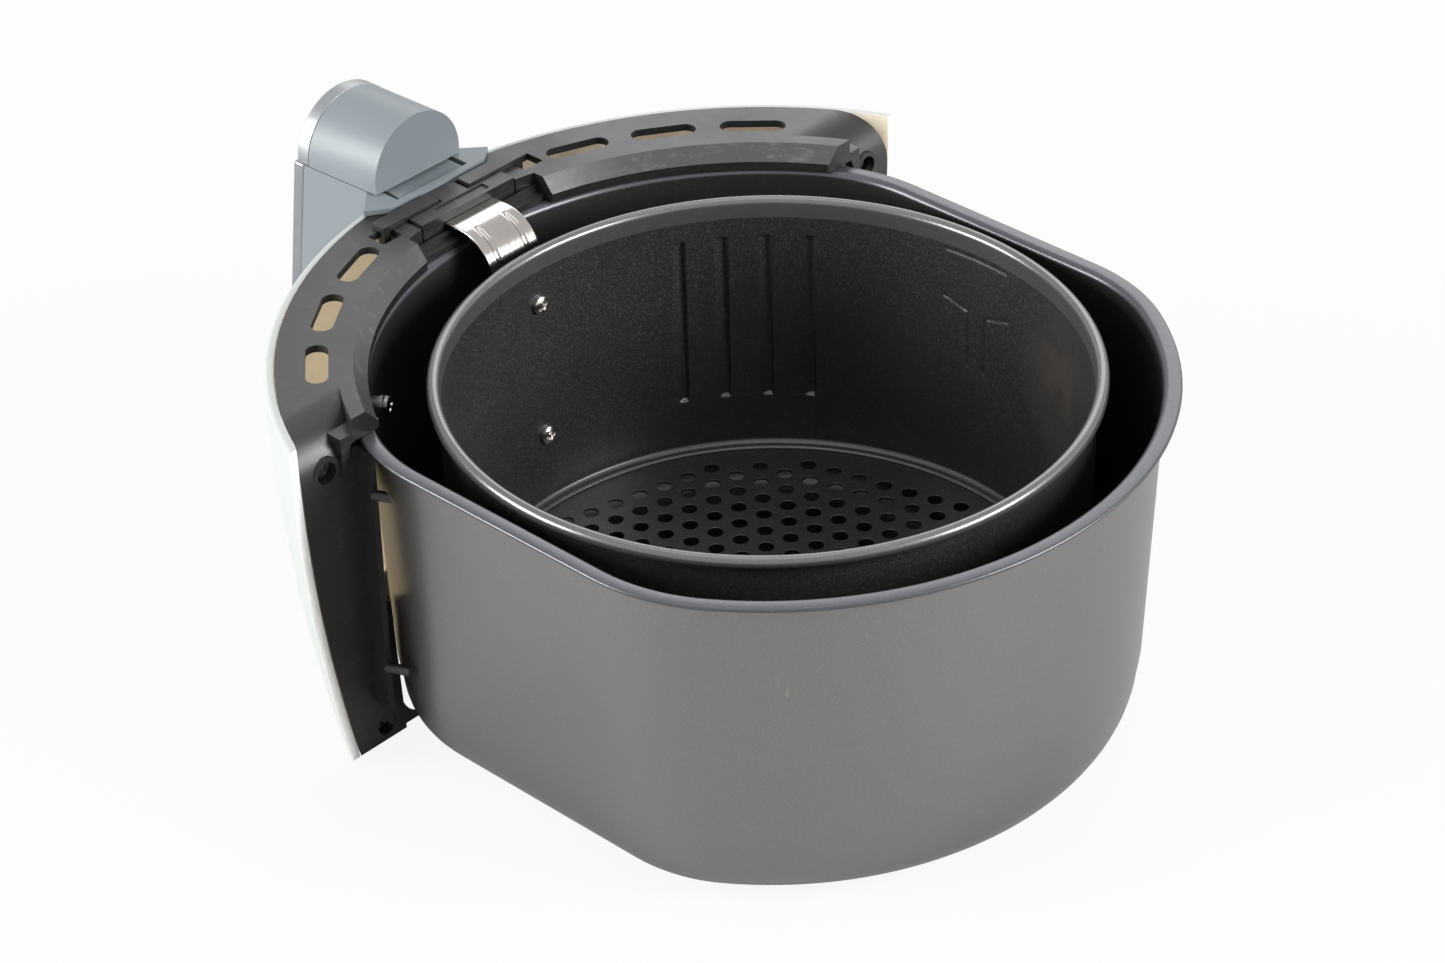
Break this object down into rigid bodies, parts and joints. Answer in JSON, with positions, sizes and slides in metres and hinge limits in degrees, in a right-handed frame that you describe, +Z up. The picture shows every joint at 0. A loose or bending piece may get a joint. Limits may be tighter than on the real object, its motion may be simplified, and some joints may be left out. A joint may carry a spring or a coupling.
{
  "type": "air fryer basket with pan",
  "caption": "Round perforated basket in a pan with a bowed front cover, lifted out by a folded-down handle with a sliding cap over its release button.",
  "frame": {"origin": "middle of the pan's underside, on the basket's axis", "axes": "+Z up along the basket's axis, -Y towards the handle, X to the side"},
  "size_m": [0.2606, 0.3151, 0.1434],
  "materials": {
    "pan_coating": "satin non-stick coating, warm grey outside and black inside",
    "basket_coating": "satin black non-stick coating",
    "pearl_cover": "gloss pearl white",
    "black_plastic": "black moulded plastic",
    "handle_plastic": "satin blue-grey",
    "silver_trim": "silver painted plastic",
    "chrome_strip": "bright plated steel",
    "dark_screw": "blackened steel",
    "bright_screw": "plain steel",
    "spring_wire": "spring steel"
  },
  "bodies": {
    "pan_unit": {"pan": "pan_coating", "front_frame": "black_plastic", "front_cover": "pearl_cover", "pan_screws": "dark_screw", "cover_screws": "dark_screw"},
    "basket_unit": {"basket": "basket_coating", "basket_bracket": "chrome_strip", "bracket_screws": "bright_screw", "bracket_nuts": "bright_screw", "latch_housing": "black_plastic", "housing_screws": "dark_screw", "handle_shell": "handle_plastic", "handle_back": "handle_plastic", "handle_screws": "dark_screw", "handle_trim": "silver_trim", "button_spring": "spring_wire"},
    "guard": {"button_guard": "handle_plastic", "guard_trim": "silver_trim"},
    "button": {"release_button": "handle_plastic"},
    "left_arm": {"left_latch": "black_plastic"},
    "right_arm": {"right_latch": "black_plastic"}
  },
  "joints": [
    {"name": "basket_lift", "type": "slide", "parent": "pan_unit", "child": "basket_unit", "axis": [0, 0, 1], "range_m": [0, 0.15]},
    {"name": "guard_slide", "type": "slide", "parent": "basket_unit", "child": "guard", "axis": [0, -1, 0], "range_m": [0, 0.02]},
    {"name": "button_press", "type": "slide", "parent": "basket_unit", "child": "button", "axis": [0, 0, -1], "range_m": [0, 0.0035], "stiffness_N_per_m": 800, "springref_m": -0.002, "deforming": ["button_spring"]},
    {"name": "left_latch_slide", "type": "slide", "parent": "basket_unit", "child": "left_arm", "axis": [1, 0, 0], "range_m": [0, 0.003]},
    {"name": "right_latch_slide", "type": "slide", "parent": "basket_unit", "child": "right_arm", "axis": [-1, 0, 0], "range_m": [0, 0.003]}
  ],
  "couplings": [
    {"joint": "left_latch_slide", "follows": "button_press", "ratio": 0.857},
    {"joint": "right_latch_slide", "follows": "button_press", "ratio": 0.857}
  ]
}
